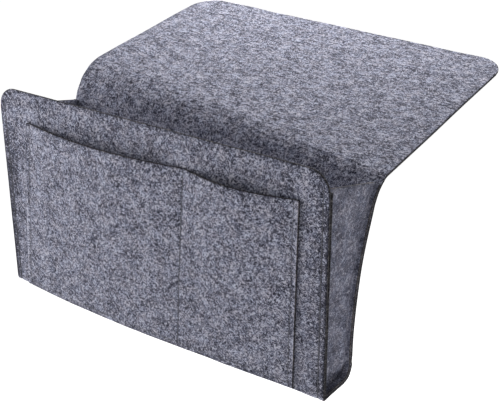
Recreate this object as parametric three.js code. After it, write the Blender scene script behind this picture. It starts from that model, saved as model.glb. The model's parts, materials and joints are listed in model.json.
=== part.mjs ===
// Bedside caddy of thick wool felt, in millimetres, +Z up.
//
// One long felt sheet is the front, the bottom and the back of a pocket, and past a fold it is the flap
// that goes under a mattress. A tapered gusset with turned-out allowances closes the pocket on each side.
// A patch pocket with a divider seam is sewn on the front.
// Every seam is a lockstitch: a needle thread on the outer face and a bobbin thread on the other side.
//
// The pieces are drawn with x across, y back from the front's outer face and z up from the bottom.
// The whole caddy then moves so that the origin is the middle of the flap's underside.

import * as THREE from "three";

// Felt and thread
const feltThickness = 2;
const threadRadius = 0.4;
const seatGap = 0.3;

// Pocket, front and bottom
const caddyWidth = 320;
const frontHeight = 178;
const frontTopRadius = 17;
const frontFoldRadius = 2;
const bottomDepth = 38;
const backFoldRadius = 11;
const frontBowDepth = 6.8;
const frontBowLeanShare = 0.35;

// Back and flap
const uprightRun = 8;
const leanRun = 113;
const flapCornerRadius = 23;
const flapSlope = THREE.MathUtils.degToRad(9.1);

// How the sheet stands at the caddy's right side, where it hangs lower, leans back late and folds sharply
const right = {
  frontDrop: 1.5,
  heading: THREE.MathUtils.degToRad(90),
  leanTurn: THREE.MathUtils.degToRad(21.5),
  crestRun: 22.5,
  crestTurn: THREE.MathUtils.degToRad(28.2),
  foldRun: 8,
  flapLength: 214,
};

// How it stands at the left side, where it leans all the way and folds in a wide bend
const left = {
  frontDrop: 0,
  heading: THREE.MathUtils.degToRad(71.5),
  leanTurn: 0,
  crestRun: 25,
  crestTurn: 0,
  foldRun: 45,
  flapLength: 201,
};

// The edges that meet at the fold, where the flap turns against the back
const flapEdgeSetback = 1.8;
const flapEdgeThickness = 0.4;
const flapEdgeTaper = 1.3;
const noseAngle = THREE.MathUtils.degToRad(70);

// Gussets
const seamAllowance = 6;
const gussetFrontDrop = 11;

// Patch pocket
const patchHeight = 153;
const patchLift = 2.5;
const patchTopLeftMargin = 32;
const patchBottomLeftMargin = 18;
const patchTopRightMargin = 23;
const patchBottomRightMargin = 25;
const dividerTopShare = 0.616;
const dividerBottomShare = 0.594;
const compartmentGape = 8.5;
const gapeRiseShare = 1.6;

// Seams
const seamInset = 5;
const patchSeamInset = 4;
const seamEndSetback = 1;
const seamCrossing = 1.5;

// Number of facets
const columnCount = 16;
const frontFacets = 8;
const cornerFacets = 4;
const foldFacets = 4;
const leanFacets = 5;
const flapFacets = 6;
const noseFacets = 2;

// Small steps that find which way a surface faces
const probeLength = 0.001;
const probeShare = 0.001;

const halfWidth = caddyWidth / 2;
const halfFelt = feltThickness / 2;
const quarterTurn = Math.PI / 2;

// Materials, one for each kind of thing that the caddy is made of
const felt = { color: 0x74757f, roughness: 0.95, metalness: 0 };
const thread = { color: 0x3a3b42, roughness: 0.7, metalness: 0 };

// Builds a closed body from its points and from faces of three or four point numbers, facing out.
function closedBody(points, faces) {
  const triangles = faces.flatMap((f) => (f.length === 4 ? [[f[0], f[1], f[2]], [f[0], f[2], f[3]]] : [f]));
  const volume = triangles.reduce(
    (sum, [a, b, c]) => sum + points[a].dot(new THREE.Vector3().crossVectors(points[b], points[c])),
    0,
  );
  const outward = volume < 0 ? triangles.map(([a, b, c]) => [a, c, b]) : triangles;
  const geometry = new THREE.BufferGeometry().setFromPoints(points);
  geometry.setIndex(outward.flat());
  geometry.computeVertexNormals();
  return geometry;
}

// A sheet with two faces: place(column, row, face) gives the points, and face is -1 outside and 1 inside.
function sheetBody(columns, rows, place) {
  const points = [];
  const faces = [];
  const count = columns.length * rows.length;
  const at = (i, j, face) => (face > 0 ? count : 0) + i * rows.length + j;
  for (const face of [-1, 1]) {
    for (const column of columns) {
      for (const row of rows) points.push(place(column, row, face));
    }
  }
  const m = columns.length - 1;
  const n = rows.length - 1;
  for (let i = 0; i < m; i++) {
    for (let j = 0; j < n; j++) {
      faces.push([at(i, j, -1), at(i, j + 1, -1), at(i + 1, j + 1, -1), at(i + 1, j, -1)]);
      faces.push([at(i, j, 1), at(i + 1, j, 1), at(i + 1, j + 1, 1), at(i, j + 1, 1)]);
    }
    faces.push([at(i, 0, -1), at(i + 1, 0, -1), at(i + 1, 0, 1), at(i, 0, 1)]);
    faces.push([at(i, n, -1), at(i, n, 1), at(i + 1, n, 1), at(i + 1, n, -1)]);
  }
  for (let j = 0; j < n; j++) {
    faces.push([at(0, j, -1), at(0, j, 1), at(0, j + 1, 1), at(0, j + 1, -1)]);
    faces.push([at(m, j, -1), at(m, j + 1, -1), at(m, j + 1, 1), at(m, j, 1)]);
  }
  return closedBody(points, faces);
}

// A body swept through rings of points, closed at both ends by the given faces of a ring.
function sweptBody(rings, endFaces) {
  const size = rings[0].length;
  const faces = [];
  for (let i = 0; i + 1 < rings.length; i++) {
    for (let k = 0; k < size; k++) {
      const next = (k + 1) % size;
      faces.push([i * size + k, i * size + next, (i + 1) * size + next, (i + 1) * size + k]);
    }
  }
  const last = (rings.length - 1) * size;
  for (const face of endFaces) {
    faces.push([...face].reverse());
    faces.push(face.map((k) => last + k));
  }
  return closedBody(rings.flat(), faces);
}

// Even steps from one value to another, both ends included.
function steps(from, to, count) {
  return Array.from({ length: count + 1 }, (_, i) => from + ((to - from) * i) / count);
}

// Columns across a sheet whose two corners are round: even in the middle, by angle in the corners.
function roundedColumns(radius) {
  const angles = steps(0, quarterTurn, cornerFacets).slice(1);
  const corner = angles.map((angle) => halfWidth - radius + radius * Math.sin(angle));
  const middle = steps(-halfWidth + radius, halfWidth - radius, columnCount);
  return [...corner.toReversed().map((x) => -x), ...middle, ...corner];
}

// How far a round corner draws the edge back at a place x across the sheet.
function cornerDrop(x, radius) {
  const into = Math.max(0, Math.abs(x) - (halfWidth - radius));
  return radius - Math.sqrt(Math.max(0, radius ** 2 - into ** 2));
}

// The share of the way from the left side to the right one.
function shareAcross(x) {
  return (x + halfWidth) / caddyWidth;
}

// The stretches of the sheet's side profile, from the front's top edge to the flap's free edge.
// Each is an arc or straight: it has a length and the angle that it turns up by.
function stretchesOf(side) {
  const foldTurn = flapSlope + side.leanTurn + side.crestTurn - side.heading;
  return [
    { run: frontHeight + side.frontDrop - frontFoldRadius - halfFelt, turn: 0 },
    { run: frontFoldRadius * quarterTurn, turn: quarterTurn },
    { run: bottomDepth - frontFoldRadius - backFoldRadius * Math.tan(side.heading / 2), turn: 0 },
    { run: backFoldRadius * side.heading, turn: side.heading },
    { run: uprightRun, turn: 0 },
    { run: leanRun, turn: -side.leanTurn },
    { run: side.crestRun, turn: -side.crestTurn },
    { run: side.foldRun / 2, turn: foldTurn / 2 },
    { run: side.foldRun / 2, turn: foldTurn / 2 },
    { run: side.flapLength - side.foldRun, turn: 0 },
  ];
}

// Lines across the sheet, numbered in order: each stretch runs from one line to the next
const [
  frontStart,
  frontEnd,
  bottomStart,
  backStart,
  uprightStart,
  leanStart,
  crestStart,
  foldStart,
  foldLine,
  flapStart,
  flapEnd,
] = Array.from({ length: stretchesOf(right).length + 1 }, (_, i) => i);

// The side profile's point at a number of stretches from the front's top edge. Past its ends it carries on.
function profilePoint(side, number) {
  let y = halfFelt;
  let z = frontHeight;
  let heading = -quarterTurn;
  stretchesOf(side).forEach(({ run, turn }, i) => {
    const share = THREE.MathUtils.clamp(number - i, i === frontStart ? -1 : 0, i === flapStart ? flapEnd : 1);
    const end = heading + turn * share;
    if (turn === 0) {
      y += run * share * Math.cos(heading);
      z += run * share * Math.sin(heading);
    } else {
      y += (run / turn) * (Math.sin(end) - Math.sin(heading));
      z += (run / turn) * (Math.cos(heading) - Math.cos(end));
    }
    heading = end;
  });
  return new THREE.Vector2(y, z);
}

// The front bows forward, most at its bottom edge and left of its middle. The bottom takes the bow up again.
function bow(x, heightShare) {
  const across = Math.PI * shareAcross(x);
  const lean = 1 + frontBowLeanShare * Math.cos(across);
  return frontBowDepth * Math.sin(across) * lean * (1 - heightShare ** 2);
}

function bowOfSheet(x, number) {
  if (number < frontEnd) return bow(x, frontEnd - number);
  return bow(x, 0) * THREE.MathUtils.clamp(backStart - number, 0, 1);
}

// The sheet's mid-surface: straight lines across from the left profile to the right one, and the front's bow.
function sheetMiddle(x, number) {
  const mixed = profilePoint(left, number).lerp(profilePoint(right, number), shareAcross(x));
  return new THREE.Vector3(x, mixed.x - bowOfSheet(x, number), mixed.y);
}

// A point of the sheet, at a depth from its mid-surface towards the pocket or the flap's top.
function onSheet(x, number, depth) {
  const along = sheetMiddle(x, number + probeShare).sub(sheetMiddle(x, number - probeShare));
  const across = sheetMiddle(x + probeLength, number).sub(sheetMiddle(x - probeLength, number));
  const normal = new THREE.Vector3().crossVectors(across, along).normalize();
  return sheetMiddle(x, number).addScaledVector(normal, depth);
}

// A point of the flat front carried on down past its bottom fold, at a depth behind its outer face.
function onFront(x, z, depth) {
  return new THREE.Vector3(x, depth - bow(x, z / frontHeight), z);
}

// How long a stretch is at a place x across the sheet.
function runAt(stretch, x) {
  const [leftRun, rightRun] = [left, right].map((side) => stretchesOf(side)[stretch].run);
  return THREE.MathUtils.lerp(leftRun, rightRun, shareAcross(x));
}

// The number of a place at a length past, or before, one of the lines between the stretches.
function past(line, x, length) {
  return line + length / runAt(line, x);
}

function before(line, x, length) {
  return line - length / runAt(line - 1, x);
}

// Sheet below the fold line: front, bottom and back in one, with a round nose at the fold
function pocketSheet() {
  const rows = [
    ...steps(0, 1, frontFacets).map((front) => ({ front })),
    ...steps(frontEnd, bottomStart, foldFacets).slice(1).map((number) => ({ number })),
    { number: backStart },
    ...steps(backStart, uprightStart, foldFacets).slice(1).map((number) => ({ number })),
    ...steps(uprightStart, leanStart, foldFacets).slice(1).map((number) => ({ number })),
    ...steps(leanStart, crestStart, leanFacets).slice(1).map((number) => ({ number })),
    ...steps(crestStart, foldStart, leanFacets).slice(1).map((number) => ({ number })),
    ...steps(foldStart, foldLine, foldFacets).slice(1, -1).map((number) => ({ number })),
    ...steps(0, noseAngle, noseFacets).map((angle) => ({ angle })),
  ];
  return sheetBody(roundedColumns(frontTopRadius), rows, (x, row, face) => {
    if (row.front !== undefined) {
      const start = past(frontStart, x, cornerDrop(x, frontTopRadius));
      return onSheet(x, THREE.MathUtils.lerp(start, frontEnd, row.front), face * halfFelt);
    }
    if (row.number) return onSheet(x, row.number, face * halfFelt);
    const depth = face * halfFelt * Math.cos(row.angle);
    return onSheet(x, past(foldLine, x, halfFelt * Math.sin(row.angle)), depth);
  });
}

// Mattress flap: the sheet past the fold line, thinned where it turns, with round corners at its free edge
function mattressFlap() {
  const rows = [
    { past: flapEdgeSetback, half: flapEdgeThickness / 2 },
    { past: flapEdgeSetback + flapEdgeTaper, half: halfFelt },
    ...steps(0, 1, foldFacets).slice(1).map((fold) => ({ fold })),
    ...steps(0, 1, flapFacets).slice(1).map((length) => ({ length })),
  ];
  return sheetBody(roundedColumns(flapCornerRadius), rows, (x, row, face) => {
    if (row.past) return onSheet(x, past(foldLine, x, row.past), face * row.half);
    if (row.fold) {
      const start = past(foldLine, x, flapEdgeSetback + flapEdgeTaper);
      return onSheet(x, THREE.MathUtils.lerp(start, flapStart, row.fold), face * halfFelt);
    }
    const end = flapEnd + flapStart - past(flapStart, x, cornerDrop(x, flapCornerRadius));
    return onSheet(x, THREE.MathUtils.lerp(flapStart, end, row.length), face * halfFelt);
  });
}

// Depths of the threads on the sheet, on a gusset's allowance, on the patch and inside the front
const threadSeat = seatGap + threadRadius;
const sheetOutside = -halfFelt - threadSeat;
const allowanceInside = halfFelt + seatGap + feltThickness + threadSeat;
const patchOutside = -seatGap - feltThickness - threadSeat;
const frontInside = feltThickness + threadSeat;

// Places along a gusset's seam: down the front from under its top edge, along the bottom and up the back.
// Outside, the seam follows the front fold. Inside, where there is no room to bend, it turns in one corner.
function gussetPlaces(topSetback, inside) {
  const top = past(frontStart, halfWidth, gussetFrontDrop + topSetback);
  const end = before(foldStart, halfWidth, topSetback);
  const corner = inside ? allowanceInside + threadRadius - frontFoldRadius + seatGap : 0;
  const fold = steps(frontEnd, bottomStart, foldFacets);
  return [
    ...steps(top, before(frontEnd, halfWidth, corner), frontFacets),
    ...(inside ? [fold[foldFacets / 2]] : fold.slice(1, -1)),
    past(bottomStart, halfWidth, corner),
    ...steps(backStart, uprightStart, foldFacets),
    ...steps(uprightStart, leanStart, foldFacets).slice(1),
    ...steps(leanStart, crestStart, leanFacets).slice(1),
    ...steps(crestStart, end, leanFacets).slice(1),
  ];
}

// Gusset: a flat wall with an allowance that turns out along its front, bottom and back edges.
// side is -1 for the left one and 1 for the right one.
function gusset(side) {
  const wallOutside = halfWidth - seamAllowance;
  const wallInside = wallOutside - feltThickness;
  const near = halfFelt + seatGap;
  const far = near + feltThickness;
  const places = gussetPlaces(0, true);
  const section = [[wallOutside, far], [halfWidth, far], [halfWidth, near], [wallInside, near]];
  const points = section.flatMap(([x, depth]) => places.map((place) => onSheet(side * x, place, depth)));
  const count = places.length;
  const faces = [];
  for (let i = 0; i + 1 < count; i++) {
    for (let k = 0; k + 1 < section.length; k++) {
      faces.push([k * count + i, k * count + i + 1, (k + 1) * count + i + 1, (k + 1) * count + i]);
    }
  }
  const inside = (section.length - 1) * count;
  // Each face of the wall is a fan from a place between its top front corner and the crest.
  for (const start of [0, inside]) {
    const outline = points.slice(start, start + count);
    const middle = outline[0].clone().lerp(outline[count - 1 - leanFacets], 0.5);
    const apex = points.push(middle) - 1;
    outline.forEach((_, i) => {
      const wall = [start + i, start + ((i + 1) % count), apex];
      faces.push(start === inside ? wall : wall.toReversed());
    });
  }
  const last = count - 1;
  const edge = section.map((_, k) => k * count);
  faces.push(edge);
  faces.push(edge.map((i) => i + last).reverse());
  faces.push([0, inside, inside + last, last]);
  return closedBody(points, faces);
}

// Edges of the patch pocket and its divider at a height: the patch is cut a little out of square
function patchEdges(z) {
  const up = (z - patchLift) / (patchHeight - patchLift);
  const dividerShare = THREE.MathUtils.lerp(dividerBottomShare, dividerTopShare, up);
  return {
    start: -halfWidth + THREE.MathUtils.lerp(patchBottomLeftMargin, patchTopLeftMargin, up),
    divider: THREE.MathUtils.lerp(-halfWidth, halfWidth, dividerShare),
    end: halfWidth - THREE.MathUtils.lerp(patchBottomRightMargin, patchTopRightMargin, up),
  };
}

// How far the patch stands off the front: nothing along its seams, most in the middle of each mouth.
function patchGape(across, z) {
  return compartmentGape * Math.sin(Math.PI * across) * (z / patchHeight) ** gapeRiseShare;
}

// Columns of the patch: its two margins outside the seams, and a share across each compartment
function patchPocket() {
  const compartments = ["first", "second"].flatMap((compartment, i) =>
    steps(0, 1, columnCount / 2).slice(i).map((across) => ({ compartment, across })),
  );
  const columns = [{ margin: "start" }, ...compartments, { margin: "end" }];
  const heights = steps(patchLift, patchHeight, frontFacets);
  return sheetBody(columns, heights, ({ margin, compartment, across }, z, face) => {
    const edges = patchEdges(z);
    const depth = face * halfFelt - halfFelt - seatGap;
    if (margin) return onFront(edges[margin], z, depth);
    const from = compartment === "first" ? edges.start + patchSeamInset : edges.divider;
    const to = compartment === "first" ? edges.divider : edges.end - patchSeamInset;
    return onFront(THREE.MathUtils.lerp(from, to, across), z, depth - patchGape(across, z));
  });
}

// A thread with four sides, laid along a seam. at(i, aside, depth) gives a point beside the seam's place i.
function threadBody(count, at, depth) {
  const rings = Array.from({ length: count }, (_, i) => [
    at(i, threadRadius, depth),
    at(i, 0, depth - threadRadius),
    at(i, -threadRadius, depth),
    at(i, 0, depth + threadRadius),
  ]);
  return sweptBody(rings, [[0, 1, 2, 3]]);
}

// A gusset seam's thread runs through the sheet and the gusset's allowance, round three edges.
function gussetThread(side, depth) {
  const places = gussetPlaces(seamEndSetback, depth > 0);
  const x = side * (halfWidth - seamInset);
  return threadBody(places.length, (i, aside, d) => onSheet(x + side * aside, places[i], d), depth);
}

// The patch's own seam: down its left side, along its bottom and up its right side
function patchThread(depth) {
  const low = patchLift + patchSeamInset;
  const heights = steps(patchHeight - seamEndSetback, low, frontFacets);
  const leftSide = heights.map((z) => ({ x: patchEdges(z).start + patchSeamInset, z, out: [-1, 0] }));
  const upward = heights.toReversed();
  const rightSide = upward.map((z) => ({ x: patchEdges(z).end - patchSeamInset, z, out: [1, 0] }));
  const from = leftSide.pop();
  const to = rightSide.shift();
  const bottom = steps(from.x, to.x, columnCount).slice(1, -1).map((x) => ({ x, z: low, out: [0, -1] }));
  const places = [...leftSide, { ...from, out: [-1, -1] }, ...bottom, { ...to, out: [1, -1] }, ...rightSide];
  const at = (i, aside, d) => {
    const { x, z, out } = places[i];
    return onFront(x + out[0] * aside, z + out[1] * aside, d);
  };
  return threadBody(places.length, at, depth);
}

// The divider's seam, from the mouth down to just above the patch's bottom seam
function dividerThread(depth) {
  const low = patchLift + patchSeamInset + seamCrossing;
  const heights = steps(patchHeight - seamEndSetback, low, frontFacets);
  const at = (i, aside, d) => onFront(patchEdges(heights[i]).divider + aside, heights[i], d);
  return threadBody(heights.length, at, depth);
}

// The finished caddy
function named(name, geometry, material) {
  const mesh = new THREE.Mesh(geometry, new THREE.MeshStandardMaterial(material));
  mesh.name = name;
  return mesh;
}

const caddy = new THREE.Group();
caddy.add(
  named("mattress_flap", mattressFlap(), felt),
  named("pocket_sheet", pocketSheet(), felt),
  named("left_gusset", gusset(-1), felt),
  named("right_gusset", gusset(1), felt),
  named("patch_pocket", patchPocket(), felt),
  named("left_gusset_needle_thread", gussetThread(-1, sheetOutside), thread),
  named("left_gusset_bobbin_thread", gussetThread(-1, allowanceInside), thread),
  named("right_gusset_needle_thread", gussetThread(1, sheetOutside), thread),
  named("right_gusset_bobbin_thread", gussetThread(1, allowanceInside), thread),
  named("patch_needle_thread", patchThread(patchOutside), thread),
  named("patch_bobbin_thread", patchThread(frontInside), thread),
  named("divider_needle_thread", dividerThread(patchOutside), thread),
  named("divider_bobbin_thread", dividerThread(frontInside), thread),
);

// The origin is the middle of the flap's underside
caddy.position.copy(onSheet(0, (flapStart + flapEnd) / 2, -halfFelt)).negate();
const root = new THREE.Group();
root.add(caddy);

export default root;
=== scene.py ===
import json
import math

import bmesh
import bpy
import numpy as np
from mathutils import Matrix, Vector


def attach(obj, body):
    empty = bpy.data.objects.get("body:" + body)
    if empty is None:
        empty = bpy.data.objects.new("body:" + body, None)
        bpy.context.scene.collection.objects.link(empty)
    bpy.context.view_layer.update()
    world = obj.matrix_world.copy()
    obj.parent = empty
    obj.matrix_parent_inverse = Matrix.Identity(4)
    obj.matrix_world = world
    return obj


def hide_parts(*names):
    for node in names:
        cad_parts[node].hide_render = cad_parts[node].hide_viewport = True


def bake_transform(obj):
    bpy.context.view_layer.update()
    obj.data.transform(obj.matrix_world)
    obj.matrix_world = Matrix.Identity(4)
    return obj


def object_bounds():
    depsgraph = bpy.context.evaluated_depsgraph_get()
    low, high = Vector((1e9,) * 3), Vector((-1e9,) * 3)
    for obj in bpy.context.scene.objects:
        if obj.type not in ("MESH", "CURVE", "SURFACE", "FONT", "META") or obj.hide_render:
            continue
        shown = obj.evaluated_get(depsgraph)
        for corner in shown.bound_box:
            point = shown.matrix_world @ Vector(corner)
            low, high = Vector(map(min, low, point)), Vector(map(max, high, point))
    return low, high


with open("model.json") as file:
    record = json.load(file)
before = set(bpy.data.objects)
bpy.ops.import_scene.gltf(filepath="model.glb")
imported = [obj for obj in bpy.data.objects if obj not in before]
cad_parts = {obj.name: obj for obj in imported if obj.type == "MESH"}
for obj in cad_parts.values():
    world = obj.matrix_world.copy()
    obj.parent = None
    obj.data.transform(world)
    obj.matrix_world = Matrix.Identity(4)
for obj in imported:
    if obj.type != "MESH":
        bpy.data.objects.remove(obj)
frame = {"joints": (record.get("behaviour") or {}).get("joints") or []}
cad_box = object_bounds()


# Camera: it stands at the photograph's angle, solved from the front panel's corners, the fold
# and the flap. Its place is counted from the middle of the front's top edge.
FRONT_TOP = np.array([0.000055, -0.189812, 0.002206])
CAMERA_AWAY = np.array([0.491684, -0.546227, 0.263726])
CAMERA_TILT, CAMERA_TURN = math.radians(90.0 - 23.983), math.radians(36.014)


def add_object(name, data):
    """A new object in the scene."""
    thing = bpy.data.objects.new(name, data)
    bpy.context.scene.collection.objects.link(thing)
    return thing


camera_data = bpy.data.cameras.new("camera")
camera_data.sensor_fit = "HORIZONTAL"
camera_data.sensor_width = 36.0
camera_data.lens = 75.6
camera_data.clip_start = 0.01
camera_data.clip_end = 20.0
camera = add_object("camera", camera_data)
camera.location = FRONT_TOP + CAMERA_AWAY
camera.rotation_euler = (CAMERA_TILT, 0.0, CAMERA_TURN)
bpy.context.scene.camera = camera


# Floor and studio light: a pale floor well below the caddy, which hangs, and a white surround.
# A soft light behind the flap grazes its top, and a weaker one from the left front fades towards
# the right side.
FLOOR_HALF, FLOOR_BELOW = 12, 0.45
BACKDROP_RADIUS, BACKDROP_HEIGHT, BACKDROP_SIDES = 11.5, 12, 64
FLOOR_WHITE, FLOOR_GLOW, SURROUND_GLOW = 0.95, 0.79, 0.27
bpy.context.scene.view_settings.view_transform = "Standard"
floor_mesh = bpy.data.meshes.new("floor")
floor_corners = [
    (-FLOOR_HALF, -FLOOR_HALF, 0), (FLOOR_HALF, -FLOOR_HALF, 0),
    (FLOOR_HALF, FLOOR_HALF, 0), (-FLOOR_HALF, FLOOR_HALF, 0),
]
floor_mesh.from_pydata(floor_corners, [], [(0, 1, 2, 3)])
floor = add_object("floor", floor_mesh)
floor.location = (0, 0, cad_box[0][2] - FLOOR_BELOW)
floor_material = bpy.data.materials.new("pale_floor")
floor_material.use_nodes = True
floor_shader = floor_material.node_tree.nodes["Principled BSDF"]
floor_shader.inputs["Base Color"].default_value = (FLOOR_WHITE, FLOOR_WHITE, FLOOR_WHITE, 1)
floor_shader.inputs["Roughness"].default_value = 1.0
floor_shader.inputs["Specular IOR Level"].default_value = 0.0
floor_shader.inputs["Emission Color"].default_value = (1.0, 1.0, 1.0, 1)
floor_shader.inputs["Emission Strength"].default_value = FLOOR_GLOW
floor_mesh.materials.append(floor_material)

# A round backdrop that only the camera sees carries the floor's white up in views from the side.
turns = np.linspace(0, 2 * math.pi, BACKDROP_SIDES + 1)[:-1]
foot = np.stack([BACKDROP_RADIUS * np.cos(turns), BACKDROP_RADIUS * np.sin(turns), 0 * turns], -1)
here = np.arange(BACKDROP_SIDES)
following = (here + 1) % BACKDROP_SIDES
backdrop_mesh = bpy.data.meshes.new("backdrop")
backdrop_mesh.from_pydata(
    np.concatenate([foot, foot + (0, 0, BACKDROP_HEIGHT)]).tolist(), [],
    np.stack([here, following, BACKDROP_SIDES + following, BACKDROP_SIDES + here], -1).tolist(),
)
backdrop_mesh.materials.append(floor_material)
backdrop = add_object("backdrop", backdrop_mesh)
backdrop.location = floor.location
backdrop.visible_diffuse = False
backdrop.visible_glossy = False
backdrop.visible_transmission = False
backdrop.visible_volume_scatter = False
backdrop.visible_shadow = False

world = bpy.data.worlds.new("studio")
world.use_nodes = True
surround = world.node_tree.nodes["Background"]
surround.inputs["Color"].default_value = (1.0, 1.0, 1.0, 1)
surround.inputs["Strength"].default_value = SURROUND_GLOW
bpy.context.scene.world = world

for name, power, size, stand, target in (
    ("key_light", 5.8, 0.50, (-0.10, 0.34, 0.30), (0.0, 0.05, 0.0)),
    ("fill_light", 2.8, 0.40, (-0.50, -0.58, 0.14), (-0.22, -0.19, -0.06)),
):
    lamp_data = bpy.data.lights.new(name, "AREA")
    lamp_data.energy = power
    lamp_data.size = size
    lamp = add_object(name, lamp_data)
    lamp.location = stand
    lamp.rotation_euler = (Vector(target) - Vector(stand)).to_track_quat("-Z", "Y").to_euler()
    lamp.visible_camera = False


# Felt: matted wool of light, middle and dark greys. The fibres lie every way in the sheet's own
# plane, so the pattern runs on the coordinates "lay": metres across and along each cut piece.
# One group gives the colour, which a shade multiplies, and the height of the fibres.
FIBRE_BEND = 0.003
FIBRE_APART = (0.31, 0.17)  # keeps the directions from sharing one pattern
WOOL_COLOURS = (
    (0.05, (0.018, 0.018, 0.028)), (0.5, (0.144, 0.147, 0.204)), (0.98, (0.45, 0.455, 0.55)),
)
WARM_TO_COOL = ((0.3, (1.0, 0.97, 0.93)), (0.7, (0.95, 0.98, 1.0)))
MIDDLE_TONE = 0.53
felt_group = bpy.data.node_groups.new("felt_fibres", "ShaderNodeTree")
for name, way, kind in (
    ("Shade", "INPUT", "NodeSocketColor"),
    ("Colour", "OUTPUT", "NodeSocketColor"),
    ("Height", "OUTPUT", "NodeSocketFloat"),
):
    felt_group.interface.new_socket(name, in_out=way, socket_type=kind)
nodes, links = felt_group.nodes, felt_group.links
group_in, group_out = nodes.new("NodeGroupInput"), nodes.new("NodeGroupOutput")
lay_map = nodes.new("ShaderNodeUVMap")
lay_map.uv_map = "lay"
lay = lay_map.outputs["UV"]


def noise(vector, scale, detail, roughness=0.5, distortion=0.0):
    """A flat noise with a scale in features per metre. Its values lie round 0.5."""
    node = nodes.new("ShaderNodeTexNoise")
    node.noise_dimensions = "2D"
    node.inputs["Scale"].default_value = scale
    node.inputs["Detail"].default_value = detail
    node.inputs["Roughness"].default_value = roughness
    node.inputs["Distortion"].default_value = distortion
    links.new(vector, node.inputs["Vector"])
    return node


def calc(operation, *values):
    """One step of arithmetic on sockets and numbers."""
    node = nodes.new("ShaderNodeMath")
    node.operation = operation
    for i, value in enumerate(values):
        if isinstance(value, (int, float)):
            node.inputs[i].default_value = value
        else:
            links.new(value, node.inputs[i])
    return node.outputs[0]


def weighted(value, centre, weight, onto):
    """onto + weight (value - centre)."""
    return calc("MULTIPLY_ADD", calc("SUBTRACT", value, centre), weight, onto)


def ramp_up(value, low, high):
    """0 below a low value, 1 past a high one."""
    node = nodes.new("ShaderNodeMapRange")
    node.inputs["From Min"].default_value = low
    node.inputs["From Max"].default_value = high
    links.new(value, node.inputs["Value"])
    return node.outputs["Result"]


def colour_ramp(value, stops):
    """A colour read from a value, between stops of a place and a colour."""
    node = nodes.new("ShaderNodeValToRGB")
    elements = node.color_ramp.elements
    elements[0].position, elements[1].position = stops[0][0], stops[-1][0]
    elements[0].color, elements[1].color = (*stops[0][1], 1), (*stops[-1][1], 1)
    for stop, colour in stops[1:-1]:
        elements.new(stop).color = (*colour, 1)
    links.new(value, node.inputs["Fac"])
    return node.outputs["Color"]


def product(colour, other):
    """Two colours multiplied."""
    node = nodes.new("ShaderNodeMix")
    node.data_type = "RGBA"
    node.blend_type = "MULTIPLY"
    node.inputs["Factor"].default_value = 1.0
    links.new(colour, node.inputs[6])
    links.new(other, node.inputs[7])
    return node.outputs[2]


# Fibres are bent: a slow noise shifts the coordinates by up to 3 mm.
shift = nodes.new("ShaderNodeVectorMath")
shift.operation = "MULTIPLY_ADD"
links.new(noise(lay, 110, 1).outputs["Color"], shift.inputs[0])
shift.inputs[1].default_value = (FIBRE_BEND, FIBRE_BEND, 0)
links.new(lay, shift.inputs[2])
bent = shift.outputs[0]


def fibres(turn, scale, slenderness):
    """Fibres along one direction: a noise stretched along it, of a scale in fibres per metre across."""
    mapping = nodes.new("ShaderNodeMapping")
    mapping.vector_type = "TEXTURE"
    mapping.inputs["Location"].default_value = (turn * FIBRE_APART[0], turn * FIBRE_APART[1], 0)
    mapping.inputs["Rotation"].default_value = (0, 0, turn)
    mapping.inputs["Scale"].default_value = (slenderness, 1, 1)
    links.new(bent, mapping.inputs["Vector"])
    return noise(mapping.outputs["Vector"], scale, 1.5, distortion=0.4).outputs["Fac"]


def threads(turns, scale, slenderness, level, sign):
    """Fibres that lie over each other in several directions: the sum of what each of their noises
    has past a level, above it with the sign 1 and below it with -1."""
    total = 0.0
    for turn in turns:
        over = calc("MULTIPLY", calc("SUBTRACT", fibres(turn, scale, slenderness), level), sign)
        total = calc("ADD", total, calc("MAXIMUM", over, 0.0))
    return total


light = threads(turns=(0.2, 0.85, 1.5, 2.1, 2.75), scale=1020, slenderness=3.6, level=0.53, sign=1)
dark = threads(turns=(0.5, 1.2, 2.4), scale=900, slenderness=2.6, level=0.47, sign=-1)
thin = threads(turns=(0.0, 1.1, 2.3), scale=1500, slenderness=6.0, level=0.54, sign=1)
tufts = noise(bent, 300, 2, roughness=0.6, distortion=0.3).outputs["Fac"]
clouds = noise(lay, 75, 2, roughness=0.55).outputs["Fac"]

# The flap's felt is combed across. It lies between 0.36 and 0.60 m along the sheet's lay, and the
# gussets' smoother felt lies beyond 1.5 m. A point attribute paints shade at the felt's edges,
# grooves and hollows, paints highlight where it is below 0, and darkens the cut faces' own tone.
along_piece = nodes.new("ShaderNodeSeparateXYZ")
links.new(lay, along_piece.inputs[0])
lay_along = along_piece.outputs["Y"]
on_flap = calc("SUBTRACT", ramp_up(lay_along, 0.34, 0.38), ramp_up(lay_along, 0.60, 0.62))
on_gusset = ramp_up(lay_along, 1.40, 1.50)
combed = calc("MULTIPLY", calc("SUBTRACT", fibres(0.0, 420, 4.5), 0.5), on_flap)
contrast = calc("SUBTRACT", weighted(tufts, 0.0, 0.60, 0.78), calc("MULTIPLY", on_gusset, 0.5))
painted_light_map = nodes.new("ShaderNodeAttribute")
painted_light_map.attribute_name = "painted_light_and_cut_tone"

# The tone is the fibres, each less its mean, times the contrast, with the slow changes on top.
tone = weighted(light, 0.150, 1.5, 0.0)
tone = weighted(dark, 0.085, -1.35, tone)
tone = weighted(thin, 0.080, 2.2, tone)
tone = calc("MULTIPLY_ADD", tone, contrast, MIDDLE_TONE)
tone = weighted(tufts, 0.5, 0.36, tone)
tone = weighted(clouds, 0.5, 0.65, tone)
tone = weighted(combed, 0.0, 1.0, tone)
# Painted shade and painted highlight, and the cut faces' darker tone, from the point attribute.
tone = weighted(painted_light_map.outputs["Fac"], 0.0, -0.22, tone)
wool = colour_ramp(tone, WOOL_COLOURS)
hue = colour_ramp(noise(bent, 130, 2).outputs["Fac"], WARM_TO_COOL)
links.new(product(product(wool, hue), group_in.outputs["Shade"]), group_out.inputs["Colour"])
links.new(calc("ADD", thin, light), group_out.inputs["Height"])


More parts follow.
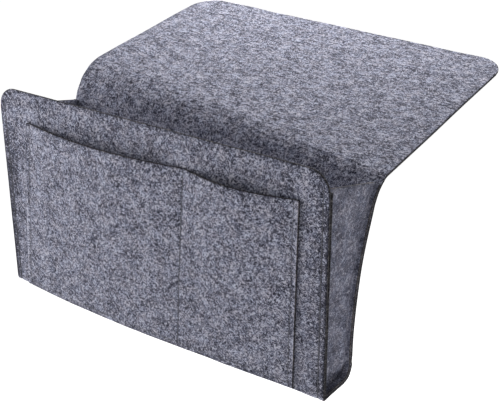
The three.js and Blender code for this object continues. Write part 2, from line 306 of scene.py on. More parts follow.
def felt_material(name, shade, lift):
    """Felt of a shade, with a bump of a given depth in metres."""
    material = bpy.data.materials.new(name)
    material.use_nodes = True
    tree = material.node_tree
    shader = tree.nodes["Principled BSDF"]
    group = tree.nodes.new("ShaderNodeGroup")
    group.node_tree = felt_group
    group.inputs["Shade"].default_value = (*shade, 1)
    tree.links.new(group.outputs["Colour"], shader.inputs["Base Color"])
    bump = tree.nodes.new("ShaderNodeBump")
    bump.inputs["Strength"].default_value = 0.6
    bump.inputs["Distance"].default_value = lift
    tree.links.new(group.outputs["Height"], bump.inputs["Height"])
    tree.links.new(bump.outputs["Normal"], shader.inputs["Normal"])
    shader.inputs["Roughness"].default_value = 0.95
    shader.inputs["Specular IOR Level"].default_value = 0.15
    shader.inputs["Sheen Weight"].default_value = 0.08
    shader.inputs["Sheen Roughness"].default_value = 0.6
    shader.inputs["Sheen Tint"].default_value = (0.8, 0.82, 0.95, 1)
    return material


felt = felt_material("felt", (1.0, 1.0, 1.0), 0.0006)
cut_felt = felt_material("cut_felt", (0.36, 0.325, 0.265), 0.0009)


# The felt sheet: front, bottom, back and mattress flap, cut in one from 2 mm felt and folded
# between two side profiles, which differ left and right. A place on it is x across and s along,
# where s counts the stretches of the profiles from the front's top edge.
THICKNESS = 0.002
HALF = THICKNESS / 2
WIDTH = 0.320
SIDE = WIDTH / 2
FRONT_HEIGHT = 0.178
FRONT_FOLD_RADIUS = 0.002
BOTTOM_DEPTH = 0.038
BACK_FOLD_RADIUS = 0.011
UPRIGHT_RUN = 0.008
LEAN_RUN = 0.113
FRONT_CORNER, FLAP_CORNER = 0.017, 0.023
BOW_DEPTH, BOW_LEAN = 0.0068, 0.35
FLAP_SLOPE = math.radians(9.1)
FLAP_CORNER_LIFT = 0.0016
ORIGIN = np.array([-0.00005516, 0.18981208, 0.17579357])  # of the row frame, in the drawing's frame
FUZZ_BULGE, FUZZ_STEPS = 0.0003, (0.2, 0.5, 0.8)
INSIDE_LAY = (0.7, 0.0)  # the felt's two faces show different fibres
RIM_WIDTH, RIM_STEP, FACE_STEP = 0.010, 0.0008, 0.0025
SEAM_INSET = 0.005
SEAM_X = SIDE - SEAM_INSET
CREASE_HEIGHT, CREASE_X, CREASE_TILT = 0.1365, 0.148, 0.05
# Painted shade beside the felt's cut edges: its strength at the edge and its reach.
EDGE_SHADE, EDGE_SHADE_REACH = 0.8, 0.0015


def stretches(drop, heading, lean_turn, crest_run, crest_turn, fold_run, flap_length):
    """Lengths and turns of a side profile's stretches, from the front's top edge to the free edge."""
    heading, lean_turn, crest_turn = (math.radians(a) for a in (heading, lean_turn, crest_turn))
    fold_turn = FLAP_SLOPE + lean_turn + crest_turn - heading
    return [
        (FRONT_HEIGHT + drop - FRONT_FOLD_RADIUS - HALF, 0.0),
        (FRONT_FOLD_RADIUS * math.pi / 2, math.pi / 2),
        (BOTTOM_DEPTH - FRONT_FOLD_RADIUS - BACK_FOLD_RADIUS * math.tan(heading / 2), 0.0),
        (BACK_FOLD_RADIUS * heading, heading),
        (UPRIGHT_RUN, 0.0),
        (LEAN_RUN, -lean_turn),
        (crest_run, -crest_turn),
        (fold_run / 2, fold_turn / 2),
        (fold_run / 2, fold_turn / 2),
        (flap_length - fold_run, 0.0),
    ]


LEFT = stretches(
    drop=0.0, heading=71.5, lean_turn=0.0, crest_run=0.025, crest_turn=0.0,
    fold_run=0.045, flap_length=0.201,
)
RIGHT = stretches(
    drop=0.0015, heading=90.0, lean_turn=21.5, crest_run=0.0225, crest_turn=28.2,
    fold_run=0.008, flap_length=0.214,
)
# Where each stretch starts: BOTTOM past the front fold, BACK past the back one, and so on.
FRONT_FOLD, BOTTOM, BACK_FOLD, BACK, LEAN, CREST, FOLD, FOLD_LINE, FLAP, FREE_EDGE = range(1, 11)


def profile(side, s):
    """y and z of a side profile: a stretch of length r that turns by t from heading h adds
    r/t (sin(h+t) - sin h) to y and r/t (cos h - cos(h+t)) to z, and a straight one r cos h and
    r sin h."""
    y = np.full(s.shape, HALF)
    z = np.full(s.shape, FRONT_HEIGHT)
    heading = np.full(s.shape, -math.pi / 2)
    for i, (run, turn) in enumerate(side):
        share = np.clip(s - i, -1 if i == 0 else 0, 10 if i == len(side) - 1 else 1)
        end = heading + turn * share
        if turn == 0:
            y = y + run * share * np.cos(heading)
            z = z + run * share * np.sin(heading)
        else:
            y = y + run / turn * (np.sin(end) - np.sin(heading))
            z = z + run / turn * (np.cos(heading) - np.cos(end))
        heading = end
    return y, z


def bow(x, height_share):
    """How far the front bows forward: sin(pi a)(1 + 0.35 cos(pi a)) across, and 1 - h squared up."""
    a = math.pi * (x / WIDTH + 0.5)
    return BOW_DEPTH * np.sin(a) * (1 + BOW_LEAN * np.cos(a)) * (1 - height_share**2)


def middle(x, s):
    """The sheet's mid-surface: straight lines from the left profile to the right one, less the
    front's bow, which the bottom lets out, and with the flap's right corner lifted."""
    across = x / WIDTH + 0.5
    (left_y, left_z), (right_y, right_z) = profile(LEFT, s), profile(RIGHT, s)
    forward = np.where(s < FRONT_FOLD, bow(x, 1 - s), bow(x, 0) * np.clip(BACK_FOLD - s, 0, 1))
    y = left_y + (right_y - left_y) * across - forward
    lift = FLAP_CORNER_LIFT * across * np.clip(s - FLAP, 0, 1)
    return np.stack([x, y, left_z + (right_z - left_z) * across + lift], -1)


def on_sheet(x, s, depth):
    """A point in the row frame at a depth from the mid-surface, along its normal, towards the
    pocket's inside or the flap's top. The normal is the cross product of two small steps."""
    arrays = (np.asarray(value, float) for value in (x, s, depth))
    x, s, depth = np.broadcast_arrays(*arrays)
    along = middle(x, s + 0.001) - middle(x, s - 0.001)
    across = middle(x + 0.0001, s) - middle(x - 0.0001, s)
    normal = np.cross(across, along)
    normal /= np.linalg.norm(normal, axis=-1, keepdims=True)
    return middle(x, s) + normal * depth[..., None] - ORIGIN


def run_at(stretch, x):
    """Length of a stretch at a place across the sheet, straight between its two sides."""
    return LEFT[stretch][0] + (RIGHT[stretch][0] - LEFT[stretch][0]) * (x / WIDTH + 0.5)


def corner_drop(x, radius):
    """How far a round corner draws an edge back at x: r - sqrt(r2 - i2), i the way into it."""
    into = np.clip(np.abs(x) - (SIDE - radius), 0, radius)
    return radius - np.sqrt(radius**2 - into**2)


def rise(value, start, length):
    """0 up to a start, then a straight rise to 1."""
    return np.clip((value - start) / length, 0, 1)


def ridge(distance, width, power=2):
    """exp(-(d/w)^p): 1 at a line and nothing a few widths away."""
    return np.exp(-((distance / width) ** power))


def unevenness(x, v, depth, seed):
    """Slow waves of the felt: the sum of eight sines of random directions, 25 to 90 mm long."""
    rng = np.random.default_rng(seed)
    total = np.zeros(np.broadcast(x, v).shape)
    for _ in range(8):
        angle, phase = rng.uniform(0, math.pi), rng.uniform(0, 2 * math.pi)
        length = rng.uniform(0.025, 0.09)
        way = x * math.cos(angle) + v * math.sin(angle)
        total += np.sin(2 * math.pi * way / length + phase)
    return total * depth / 4


def steps(start, end, step):
    """Even places from start to end, about a step apart."""
    return np.linspace(start, end, max(2, int(round(abs(end - start) / step)) + 1))


def past(start, end, count):
    """A count of even places past start, the last one at end."""
    return np.linspace(start, end, count + 1)[1:]


def quads(index):
    """The faces between neighbouring rows and columns of a grid of point numbers."""
    corners = [index[:-1, :-1], index[1:, :-1], index[1:, 1:], index[:-1, 1:]]
    return np.stack(corners, -1).reshape(-1, 4)


def face_outwards(mesh):
    """Turns every face of a closed mesh outwards."""
    shell = bmesh.new()
    shell.from_mesh(mesh)
    bmesh.ops.recalc_face_normals(shell, faces=shell.faces)
    shell.to_mesh(mesh)
    shell.free()


def add_felt(name, mesh, faces, lays, painted_light_and_cut_tone, cut):
    """A felt piece: lays, painted shade and highlight, and cut tone are values per point, and cut marks
    the faces of cut edges.
    """
    mesh.uv_layers.new(name="lay").uv.foreach_set("vector", lays[faces].astype(np.float32).ravel())
    values = mesh.attributes.new("painted_light_and_cut_tone", "FLOAT", "POINT").data
    values.foreach_set("value", painted_light_and_cut_tone.astype(np.float32))
    mesh.materials.append(felt)
    mesh.materials.append(cut_felt)
    mesh.polygons.foreach_set("material_index", cut.astype(np.int32))
    mesh.polygons.foreach_set("use_smooth", np.ones(len(faces), bool))
    mesh.update(calc_edges=True)
    mesh.validate()
    face_outwards(mesh)
    piece = add_object(name, mesh)
    return piece


def felt_body(name, outside, inside, lay, painted_light):
    """A closed felt body between two grids of points, with a rounded fuzzy cut edge round its
    border, whose points step from the outer grid to the inner one, pushed out by a bulge times
    sin(pi k). Painted shade darkens the felt beside its edges by 0.8 exp(-d / 1.5 mm), where it
    turns away from the light, the cut faces get a darker tone of their own, and the given grid
    adds more painted shade and painted highlight."""
    m, n = outside.shape[:2]
    index = np.arange(m * n).reshape(m, n)
    border = np.concatenate([index[0, :-1], index[:-1, -1], index[-1, :0:-1], index[:0:-1, 0]])
    row, column = np.divmod(border, n)
    inner_row, inner_column = np.clip(row, 1, m - 2), np.clip(column, 1, n - 2)
    centre = (outside + inside) / 2
    out = centre[row, column] - centre[inner_row, inner_column]
    out /= np.linalg.norm(out, axis=1, keepdims=True)
    a, b = outside.reshape(-1, 3)[border], inside.reshape(-1, 3)[border]
    rings = [a + (b - a) * k + out * FUZZ_BULGE * math.sin(math.pi * k) for k in FUZZ_STEPS]
    count, size = m * n, len(border)
    ring_starts = [2 * count + size * k for k in range(len(rings))]
    ring_ids = [border, *(start + np.arange(size) for start in ring_starts), count + border]
    outer = quads(index)
    faces = [outer, (outer + count)[:, ::-1]]
    for low, high in zip(ring_ids[:-1], ring_ids[1:]):
        faces.append(np.stack([low, np.roll(low, -1), np.roll(high, -1), high], -1))
    faces = np.concatenate(faces)
    points = np.concatenate([outside.reshape(-1, 3), inside.reshape(-1, 3), *rings])
    mesh = bpy.data.meshes.new(name)
    mesh.vertices.add(len(points))
    mesh.vertices.foreach_set("co", points.astype(np.float32).ravel())
    mesh.loops.add(faces.size)
    mesh.loops.foreach_set("vertex_index", faces.astype(np.int32).ravel())
    mesh.polygons.add(len(faces))
    mesh.polygons.foreach_set("loop_start", np.arange(0, faces.size, 4, dtype=np.int32))
    flat = lay.reshape(-1, 2)
    rim = flat[border]
    way = rim - lay[inner_row, inner_column]
    way /= np.maximum(np.linalg.norm(way, axis=1, keepdims=True), 1e-9)
    lays = [flat, flat + INSIDE_LAY, *(rim + way * THICKNESS * k for k in FUZZ_STEPS)]
    away = [np.linalg.norm(line[:, None] - rim, axis=2).min(1) for line in lay]
    # Painted shade beside the cut edges, the grid's painted shade and highlight, and the cut faces'
    # tone.
    painted_light_and_cut_tone = EDGE_SHADE * np.exp(-np.concatenate(away) / EDGE_SHADE_REACH)
    painted_light_and_cut_tone += np.broadcast_to(painted_light, (m, n)).ravel()
    painted_light_and_cut_tone = np.concatenate([painted_light_and_cut_tone, painted_light_and_cut_tone, np.ones(len(rings) * size)])
    cut = np.arange(len(faces)) >= 2 * len(outer)
    return add_felt(name, mesh, faces, np.concatenate(lays), painted_light_and_cut_tone, cut)


# The grid: fine rows in the folds, and fine columns beside the cut edges.
rim_x = SIDE - RIM_WIDTH
sheet_x = np.concatenate([
    steps(-SIDE, -rim_x, RIM_STEP), steps(-rim_x, rim_x, FACE_STEP)[1:-1],
    steps(rim_x, SIDE, RIM_STEP),
])
front_rows = steps(0, 1, FACE_STEP / FRONT_HEIGHT)
fold_rows = [past(i + 1, i + 2, count) for i, count in enumerate((8, 11, 11, 8, 27, 21, 9, 9))]
front_start = corner_drop(sheet_x, FRONT_CORNER) / run_at(0, sheet_x)
flap_end = FREE_EDGE - corner_drop(sheet_x, FLAP_CORNER) / run_at(FLAP, sheet_x)
sheet_s = np.concatenate([
    front_start + (1 - front_start) * front_rows[:, None],
    np.repeat(np.concatenate(fold_rows)[:, None], len(sheet_x), 1),
    FLAP + (flap_end - FLAP) * past(0, 1, 75)[:, None],
])
sheet_xx = np.broadcast_to(sheet_x, sheet_s.shape)
on_front_panel = sheet_s < FRONT_FOLD
beside_edge = SIDE - np.abs(sheet_xx)

# Shape: the felt's own waves, a groove under each side seam, and a crease across the right margin.
# Painted shade darkens the felt in the crease, along the margins, the edges and the seam lines, and
# on the left also at the rim low down and on the margin high up, where the felt turns from the light.
crease_height = CREASE_HEIGHT + CREASE_TILT * (sheet_xx - CREASE_X)
crease = ridge(FRONT_HEIGHT * (1 - sheet_s) - crease_height, width=0.0010)
crease *= rise(sheet_xx, start=0.137, length=0.008) * on_front_panel
sheet_wave = unevenness(sheet_xx, sheet_s * 0.06, depth=0.0004, seed=5) + 0.0003 * crease
seam_groove = 0.0006 * ridge(np.abs(sheet_xx) - SEAM_X, width=0.0010)
seam_groove *= (sheet_s > 0.07) * (sheet_s < FOLD)
margin_shade = 0.42 * ridge(beside_edge, width=0.016)
edge_and_seam_shade = 1.5 * ridge(beside_edge, width=0.0013)
edge_and_seam_shade = edge_and_seam_shade + 0.9 * ridge(beside_edge - SEAM_INSET, width=0.0009)
edge_and_seam_shade = edge_and_seam_shade * rise(sheet_s, start=0.12, length=0.05)
left_rim = 2.0 * ridge(beside_edge, width=0.0034, power=4) * rise(sheet_s, start=0.35, length=0.4)
left_margin = 1.2 * ridge(beside_edge - 0.010, width=0.009, power=4)
left_margin *= rise(sheet_s, start=0.17, length=0.12) * (1 - rise(sheet_s, start=0.25, length=0.625))
sheet_painted_shade = 1.5 * crease + on_front_panel * (
    margin_shade + edge_and_seam_shade + (left_rim + left_margin) * (sheet_xx < 0)
)
row_steps = np.linalg.norm(np.diff(on_sheet(sheet_xx, sheet_s, 0), axis=0), axis=2)
row_places = np.concatenate([np.zeros((1, len(sheet_x))), np.cumsum(row_steps, 0)])
sheet = felt_body(
    "felt_sheet",
    on_sheet(sheet_xx, sheet_s, -HALF + sheet_wave + seam_groove),
    on_sheet(sheet_xx, sheet_s, HALF + sheet_wave),
    lay=np.stack([sheet_xx, row_places + corner_drop(sheet_x, FRONT_CORNER)], -1),
    painted_light=sheet_painted_shade,
)
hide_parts("mattress_flap", "pocket_sheet")

# The way down from the joint is made square to the joint's axis, and the sheet's place is baked
# into its points.
down = np.array([0.0, -0.87, -0.49])
axis = np.array(frame["joints"][0]["axis"])
down = down - axis * down.dot(axis)
down /= np.linalg.norm(down)
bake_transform(sheet)


# The gussets: a tapered wall of felt on each side, with an allowance that turns out along its
# front, bottom and back and is sewn to the sheet's inside. The allowance is a section swept along
# the seam, and the wall fills the seam's outline with a sagging patch.
GUSSET_GAP = 0.0003
NEAR, FAR = HALF + GUSSET_GAP, HALF + GUSSET_GAP + THICKNESS  # depths of the allowance's faces
GUSSET_DROP, GUSSET_BACK_DROP = 0.0152, 0.0036
GUSSET_TOP = GUSSET_DROP / RIGHT[0][0]
GUSSET_BACK_TOP = FOLD - GUSSET_BACK_DROP / RIGHT[CREST][0]
# The seam's front run stops short of the tight fold. Its bottom run starts past that fold and ends
# short of the middle of the back one.
FRONT_RUN_END, BOTTOM_RUN_START, BOTTOM_RUN_END = 0.965, 2.16, 3.35
FRONT_CORNER_PLACE, BACK_CORNER_PLACE = FRONT_FOLD + 0.5, BACK_FOLD + 0.5
WALL_X, WALL_FLARE = 0.1540, 0.0033
INNER_WALL_X = WALL_X - THICKNESS
WALL_RISE = 0.0019  # of the wall's first points over the allowance
TURN_RADIUS = 0.0005
ALLOWANCE_X, ALLOWANCE_ROUND, ALLOWANCE_TIP = 0.1597, 0.1602, 0.1603
EDGE_STEP = 0.0004
SAG, SAG_LOW, SAG_LOW_REACH = 0.0010, 0.0006, 0.03
TUCK_DEPTH, TUCK_FOOT, TUCK_BACK_HEIGHT, TUCK_FRONT_MORE = 0.0018, 0.0052, 0.0068, 0.0030
GUSSET_COLUMNS, GUSSET_FINE_FROM = 24, 0.86
GUSSET_LAY, GUSSET_LAY_APART = (0.13, 1.9), (0.5, 0.0)


def at_seam(x, s, depth):
    """A point of the gusset. In the middle of the front's tight fold, a depth over the fold's
    radius turns a square corner: what is over it grows by the square root of 2."""
    deep = FRONT_FOLD_RADIUS + (depth - FRONT_FOLD_RADIUS) * math.sqrt(2)
    in_corner = (np.abs(s - FRONT_CORNER_PLACE) < 1e-6) & (depth > FRONT_FOLD_RADIUS)
    return on_sheet(x, s, np.where(in_corner, deep, depth))


def gusset_seam(heights):
    """Places s along a gusset's seam, in three runs: down the front, along the bottom, up the
    back."""
    front = np.append(
        (GUSSET_TOP + (FRONT_RUN_END - GUSSET_TOP) * heights)[:-1], FRONT_CORNER_PLACE,
    )
    bottom = np.linspace(BOTTOM_RUN_START, BOTTOM_RUN_END, GUSSET_COLUMNS - 2)
    back_places = [BACK_CORNER_PLACE, BACK, LEAN, CREST, GUSSET_BACK_TOP]
    back = np.interp(1 - heights[::-1], [0, 0.05, 0.11, 0.88, 1], back_places)
    return np.concatenate([front, bottom, back])


def gusset_section(seam):
    """Pairs of x and depth along the seam: from the wall's outer face round a quarter turn and
    out along the allowance, round its cut edge, and back along the inner face. The turn adds
    r (1 - cos t) to x and r (1 - sin t) to the depth."""
    wall = WALL_X + WALL_FLARE * rise(seam, BACK_CORNER_PLACE, 1.0)
    turn_end, inner_radius = wall + TURN_RADIUS, TURN_RADIUS + THICKNESS
    bend = np.linspace(0, math.pi / 2, 5)
    ledge = [turn_end + (ALLOWANCE_X - turn_end) * share for share in (0.33, 0.67, 1)]
    outer = [(wall, FAR + WALL_RISE)]
    outer += [
        (wall + TURN_RADIUS * (1 - math.cos(t)), FAR + TURN_RADIUS * (1 - math.sin(t)))
        for t in bend
    ]
    outer += [(x, FAR) for x in ledge]
    edge = [
        (ALLOWANCE_ROUND, FAR - EDGE_STEP), (ALLOWANCE_TIP, FAR - 2 * EDGE_STEP),
        (ALLOWANCE_TIP, NEAR + 2 * EDGE_STEP), (ALLOWANCE_ROUND, NEAR + EDGE_STEP),
    ]
    inner = [(x, NEAR) for x in ledge[::-1]]
    inner += [
        (turn_end - inner_radius * math.sin(t), NEAR + inner_radius * (1 - math.cos(t)))
        for t in bend
    ]
    inner += [(wall - THICKNESS, FAR + WALL_RISE)]
    return [
        [np.broadcast_to(np.asarray(value, float), seam.shape) for value in pair]
        for pair in outer + edge + inner
    ], len(outer) - 1, len(edge) + 1


def gusset_wall(ring, heights, side):
    """The wall inside a ring of seam points: the straight fill between its four sides, corners
    counted once, which sags inwards by sines and tucks in over the bottom allowance."""
    rows, last = len(heights), len(heights) + GUSSET_COLUMNS - 2
    u = heights[:, None, None]
    v = np.linspace(0, 1, GUSSET_COLUMNS)[None, :, None]
    front_edge, back_edge = ring[:rows][:, None], ring[last:][::-1][:, None]
    top = front_edge[0] * (1 - v[0]) + back_edge[0] * v[0]
    low = ring[rows - 1:last + 1]
    filled = (
        front_edge * (1 - v) + back_edge * v + top[None] * (1 - u) + low[None] * u
        - (front_edge[0] * (1 - v) * (1 - u) + back_edge[0] * v * (1 - u))
        - (front_edge[-1] * (1 - v) * u + back_edge[-1] * v * u)
    )
    u, v = u[..., 0], v[..., 0]
    sag = np.sin(np.pi * v) * (SAG_LOW * ridge(1 - u, SAG_LOW_REACH) + SAG * np.sin(np.pi * u))
    sag *= np.minimum(1, (1 - u) * 12)
    tuck_height = TUCK_FRONT_MORE * (1 - v) + TUCK_BACK_HEIGHT
    under = (tuck_height - filled[..., 2] - ORIGIN[2]) / (tuck_height - TUCK_FOOT)
    tuck = TUCK_DEPTH * np.sin(np.pi * np.clip(under, 0, 1) ** 0.6)
    tuck *= np.clip(v * 9, 0, 1) * np.clip((1 - v) * 4, 0, 1)
    filled[..., 0] -= side * (sag + tuck)
    return filled


def gusset(side, name, node):
    """One gusset: the section's strips, the wall's two faces, and the cut edges at its top."""
    heights = np.concatenate([np.linspace(0, GUSSET_FINE_FROM, 44), past(GUSSET_FINE_FROM, 1, 19)])
    rows = len(heights)
    seam = gusset_seam(heights)
    section, edge_start, edge_count = gusset_section(seam)
    rings = [at_seam(side * x, seam, depth) for x, depth in section]
    count, size = len(section), len(seam)
    strip = np.arange(size - 1)
    faces = [
        np.stack([k + strip, k + strip + 1, k + size + strip + 1, k + size + strip], -1)
        for k in size * np.arange(count - 1)
    ]
    points, walls, next_point = list(rings), [], count * size
    for start, ring in ((0, rings[0]), ((count - 1) * size, rings[-1])):
        last = rows + GUSSET_COLUMNS - 2
        own = np.full((rows, GUSSET_COLUMNS), -1)
        own[:, 0] = start + np.arange(rows)
        own[-1, 1:-1] = start + np.arange(rows, last)
        own[:, -1] = start + np.arange(last, last + rows)[::-1]
        free = own < 0
        own[free] = next_point + np.arange(free.sum())
        next_point += free.sum()
        points.append(gusset_wall(ring, heights, side)[free])
        walls.append(own)
    faces += [quads(walls[0])[:, ::-1], quads(walls[1])]
    top, under = walls[0][0], walls[1][0]
    top_edge = np.stack([top[:-1], top[1:], under[1:], under[:-1]], -1)
    ends = []
    for end, order in ((0, 1), (size - 1, -1)):
        ring = np.arange(count) * size + end
        for k in range(count // 2 - 1):
            ends.append([ring[k], ring[k + 1], ring[count - 2 - k], ring[count - 1 - k]][::order])
    faces += [top_edge, np.array(ends)]
    faces, points = np.concatenate(faces), np.concatenate(points)
    mesh = bpy.data.meshes.new(name)
    mesh.from_pydata(points.tolist(), [], faces.tolist())

    # The felt's lay runs on round the turn. Painted shade darkens the allowance where it lies in
    # shadow: its outer ledge down the front and along the bottom's front part, and its turn beside the
    # wall from the front corner along the bottom's front part.
    inward = on_sheet(side * SEAM_X, seam, 0.001) - on_sheet(side * SEAM_X, seam, 0)
    inward = inward[:, 1:] / np.linalg.norm(inward[:, 1:], axis=1, keepdims=True)
    lays = points[:, 1:] + GUSSET_LAY + np.multiply(GUSSET_LAY_APART, side)
    painted_light_and_cut_tone = np.zeros(len(points))
    for k, (x, _) in enumerate(section):
        span = slice(k * size, (k + 1) * size)
        lays[span] -= inward * (x - INNER_WALL_X)[:, None]
        turn_shade = rise(x - section[0][0], start=0, length=0.0006) * (seam > 1.2)
        turn_shade = turn_shade * (1 - rise(seam, start=2.5, length=0.7))
        ledge_shade = rise(x, start=0.1570, length=0.002) * (1 - rise(seam, start=2.3, length=0.8))
        painted_light_and_cut_tone[span] = np.maximum(ledge_shade, 0.35 * turn_shade)
    number = np.arange(len(faces))
    cut = (number >= (size - 1) * edge_start) & (number < (size - 1) * (edge_start + edge_count))
    cut |= number >= len(faces) - len(top_edge) - len(ends)
    piece = add_felt(name, mesh, faces, lays, painted_light_and_cut_tone, cut)
    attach(piece, "pocket")
    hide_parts(node)


gusset(-1, "left_gusset_felt", "left_gusset")
gusset(1, "right_gusset_felt", "right_gusset")


# The patch pocket: a felt sheet on the front, sewn along its sides, its bottom and a divider,
# with two open mouths. Each compartment gapes by sin(pi a) across, growing with the height to the
# power 1.6.
PATCH_LOW, PATCH_TOP = 0.0025, 0.153
PATCH_SEAM_INSET = 0.004
PATCH_DEPTH = -0.0023
GAPE, GAPE_POWER = 0.0085, 1.6
PATCH_LAY = (0.31, 0.83)
# The left edge, the divider and the right edge: x at the bottom, and how far it shifts by the top.
PATCH_LINES = ((-0.142, 0.014), (0.03008, 0.00704), (0.135, 0.002))


def patch_edges(z):
    """x of the patch's left edge, divider and right edge at a height, each a straight line: it is
    cut a little out of square."""
    up = (z - PATCH_LOW) / (PATCH_TOP - PATCH_LOW)
    return tuple(low + shift_up * up for low, shift_up in PATCH_LINES)


def on_front(x, z, depth):
    """A point of the front in the row frame, at a depth behind its outer face, less its bow."""
    x, z, depth = np.broadcast_arrays(x, z, depth)
    return np.stack([x, depth - bow(x, z / FRONT_HEIGHT), z], -1) - ORIGIN


def shares(edge, fine, coarse):
    """Places from 0 to 1, with fine steps in the first and last share and coarse ones between."""
    between = np.linspace(edge, 1 - edge, coarse)[1:-1]
    return np.concatenate([np.linspace(0, edge, fine), between, np.linspace(1 - edge, 1, fine)])


patch_z = steps(PATCH_LOW, PATCH_TOP, 0.0022)[:, None]
left_edge, divider, right_edge = patch_edges(patch_z)
left_seam, right_seam = left_edge + PATCH_SEAM_INSET, right_edge - PATCH_SEAM_INSET
first = shares(edge=0.03, fine=5, coarse=62)[None, :]
second = shares(edge=0.05, fine=5, coarse=36)[None, 1:]
border_x = np.linspace(0, PATCH_SEAM_INSET, 6)[None, :]
patch_x = np.concatenate([
    left_edge + border_x[:, :-1],
    left_seam + (divider - left_seam) * first,
    divider + (right_seam - divider) * second,
    right_seam + border_x[:, 1:],
], 1)
patch_a = np.concatenate([np.zeros((1, 5)), first, second, np.zeros((1, 5))], 1)
gape = GAPE * np.sin(np.pi * patch_a) * (patch_z / PATCH_TOP) ** GAPE_POWER
patch_wave = unevenness(patch_x, patch_z, depth=0.00025, seed=9) * np.sin(np.pi * patch_a)
at_divider = ridge(patch_x - divider, width=0.0009)
at_seams = ridge(patch_x - left_seam, width=0.0009) + ridge(patch_x - right_seam, width=0.0009)
at_seams = at_seams + ridge(patch_z - PATCH_LOW - PATCH_SEAM_INSET, width=0.0012)
seam_dip = 0.0002 * at_seams + 0.00045 * at_divider

# Painted shadow darkens the divider's and the right seam's grooves, and painted highlight lightens
# the side edges, where they catch the light.
right_seam_shadow = 0.9 * ridge(patch_x - right_seam, width=0.0008)
right_seam_shadow = right_seam_shadow * (1 - rise(patch_z, start=0.090, length=0.03))
left_edge_highlight = 2.6 * ridge(patch_x - left_edge, width=0.0014)
left_edge_highlight = left_edge_highlight * ridge(patch_z - 0.052, width=0.045, power=4)
right_edge_highlight = 1.9 * ridge(right_edge - patch_x, width=0.0011)
patch_outer = PATCH_DEPTH - gape + patch_wave
patch = felt_body(
    "patch_pocket_felt",
    on_front(patch_x, patch_z, patch_outer + seam_dip),
    on_front(patch_x, patch_z, patch_outer + THICKNESS),
    lay=np.stack(np.broadcast_arrays(patch_x, patch_z), -1) + PATCH_LAY,
    painted_light=0.8 * at_divider + right_seam_shadow - left_edge_highlight - right_edge_highlight,
)
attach(patch, "pocket")
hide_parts("patch_pocket")


# The stitches: each one is a short length of twisted thread that rises from one needle hole
# and dives in the next, on the outer and the inner face of every seam. A seam's line is resampled
# by length, and every stitch is a small closed tube along it.
STITCH_PITCH, STITCH_SHARE = 0.0034, 0.88
THREAD_RADIUS, STRANDS, STRAND_LOBE, STRAND_TWIST = 0.00034, 3, 0.14, 9
STITCH_RISE, STITCH_SINK = 0.00045, 0.00025
TUBE_RINGS, TUBE_SIDES = 9, 8
GUSSET_STITCH_TOP, GUSSET_STITCH_BACK_TOP = 0.068, 6.83
OUTER_GROOVE, INNER_SEAM_X = 0.0003, 0.1555
PATCH_FACE, PATCH_STITCH_TOP, DIVIDER_STITCH_LOW = -0.0020, PATCH_TOP - 0.001, PATCH_LOW + 0.0055
thread = bpy.data.materials.new("thread")
thread.use_nodes = True
thread_shader = thread.node_tree.nodes["Principled BSDF"]
thread_shader.inputs["Base Color"].default_value = (0.075, 0.076, 0.098, 1)
thread_shader.inputs["Roughness"].default_value = 0.55
thread_shader.inputs["Sheen Weight"].default_value = 0.2


def unit(vectors):
    """Vectors brought to the length 1."""
    return vectors / np.linalg.norm(vectors, axis=-1, keepdims=True)


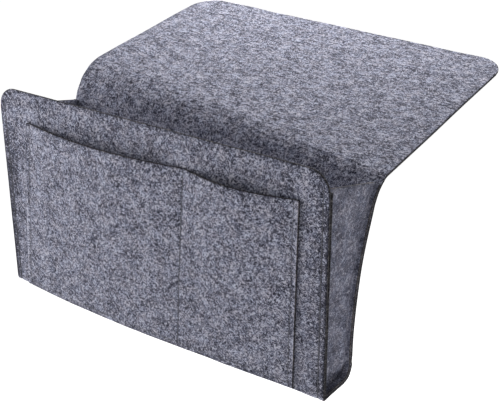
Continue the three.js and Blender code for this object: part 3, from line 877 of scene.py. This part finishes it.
def stitches(name, node, points_at, places):
    """Stitches along a seam. points_at(places, depth) gives its points on the felt's face and out
    of it. A tube's middle is h(t) = 0.45 mm sin(pi t) - 0.25 mm above the face, and its round is
    lobed by three strands that twist along it: r (1 + 0.14 cos(3 angle + 9 t))."""
    line = points_at(places, 0.0)
    outward = points_at(places, 0.001) - line
    length = np.append(0, np.cumsum(np.linalg.norm(np.diff(line, axis=0), axis=1)))
    total = max(1, int(length[-1] / STITCH_PITCH))
    t = np.linspace(0, 1, TUBE_RINGS)
    first = np.arange(total)[:, None] + (1 - STITCH_SHARE) / 2
    where = (first + STITCH_SHARE * t) * length[-1] / total
    centre = np.stack([np.interp(where, length, line[:, k]) for k in range(3)], -1)
    normal = unit(np.stack([np.interp(where, length, outward[:, k]) for k in range(3)], -1))
    centre = centre + normal * (STITCH_RISE * np.sin(np.pi * t) - STITCH_SINK)[:, None]
    tangent = unit(np.gradient(centre, axis=1))
    side = unit(np.cross(tangent, normal))
    up = np.cross(side, tangent)
    angles = np.linspace(0, 2 * math.pi, TUBE_SIDES + 1)[:-1]
    lobes = 1 + STRAND_LOBE * np.cos(STRANDS * angles + STRAND_TWIST * t[:, None])
    ring = np.cos(angles)[:, None] * side[:, :, None] + np.sin(angles)[:, None] * up[:, :, None]
    points = centre[:, :, None] + THREAD_RADIUS * lobes[..., None] * ring
    ids = np.arange(points[..., 0].size).reshape(total, TUBE_RINGS, TUBE_SIDES)
    turned = np.roll(ids, -1, axis=2)
    tubes = np.stack([ids[:, :-1], turned[:, :-1], turned[:, 1:], ids[:, 1:]], -1).reshape(-1, 4)
    caps = np.concatenate([ids[:, 0, ::-1], ids[:, -1]])
    mesh = bpy.data.meshes.new(name)
    mesh.from_pydata(points.reshape(-1, 3).tolist(), [], tubes.tolist() + caps.tolist())
    mesh.polygons.foreach_set("use_smooth", np.ones(len(mesh.polygons), bool))
    mesh.materials.append(thread)
    mesh.update()
    face_outwards(mesh)
    piece = add_object(name, mesh)
    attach(piece, "pocket")
    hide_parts(node)


outer_places = np.concatenate([
    np.linspace(GUSSET_STITCH_TOP, FRONT_FOLD, 60), past(FRONT_FOLD, BOTTOM, 8),
    past(BOTTOM, BACK_FOLD, 11), past(BACK_FOLD, BACK, 11), past(BACK, GUSSET_STITCH_BACK_TOP, 57),
])
inner_places = np.concatenate([
    np.linspace(GUSSET_STITCH_TOP, FRONT_RUN_END, 60), [FRONT_CORNER_PLACE],
    np.linspace(BOTTOM_RUN_START, BACK, 24),
    past(BACK, GUSSET_STITCH_BACK_TOP, 57),
])
for side, word in ((-1, "left"), (1, "right")):
    stitches(
        f"{word}_gusset_stitches_outside", f"{word}_gusset_needle_thread",
        lambda s, d: on_sheet(side * SEAM_X, s, -HALF + OUTER_GROOVE - d), outer_places,
    )
    stitches(
        f"{word}_gusset_stitches_inside", f"{word}_gusset_bobbin_thread",
        lambda s, d: at_seam(side * INNER_SEAM_X, s, FAR + d), inner_places,
    )

seam_z = np.linspace(PATCH_STITCH_TOP, PATCH_LOW + PATCH_SEAM_INSET, 80)
left_x = patch_edges(seam_z)[0] + PATCH_SEAM_INSET
right_x = patch_edges(seam_z)[2] - PATCH_SEAM_INSET
low_x = np.linspace(left_x[-1], right_x[-1], 100)[1:-1]
u_seam = np.concatenate([
    np.stack([left_x, seam_z], -1),
    np.stack([low_x, np.full(low_x.shape, seam_z[-1])], -1),
    np.stack([right_x, seam_z], -1)[::-1],
])
divider_z = np.linspace(PATCH_STITCH_TOP, DIVIDER_STITCH_LOW, 80)
divider_seam = np.stack([patch_edges(divider_z)[1], divider_z], -1)
for word, places in (("patch", u_seam), ("divider", divider_seam)):
    stitches(
        f"{word}_stitches_outside", f"{word}_needle_thread",
        lambda p, d: on_front(p[:, 0], p[:, 1], PATCH_FACE - d), places,
    )
    stitches(
        f"{word}_stitches_inside", f"{word}_bobbin_thread",
        lambda p, d: on_front(p[:, 0], p[:, 1], THICKNESS + d), places,
    )
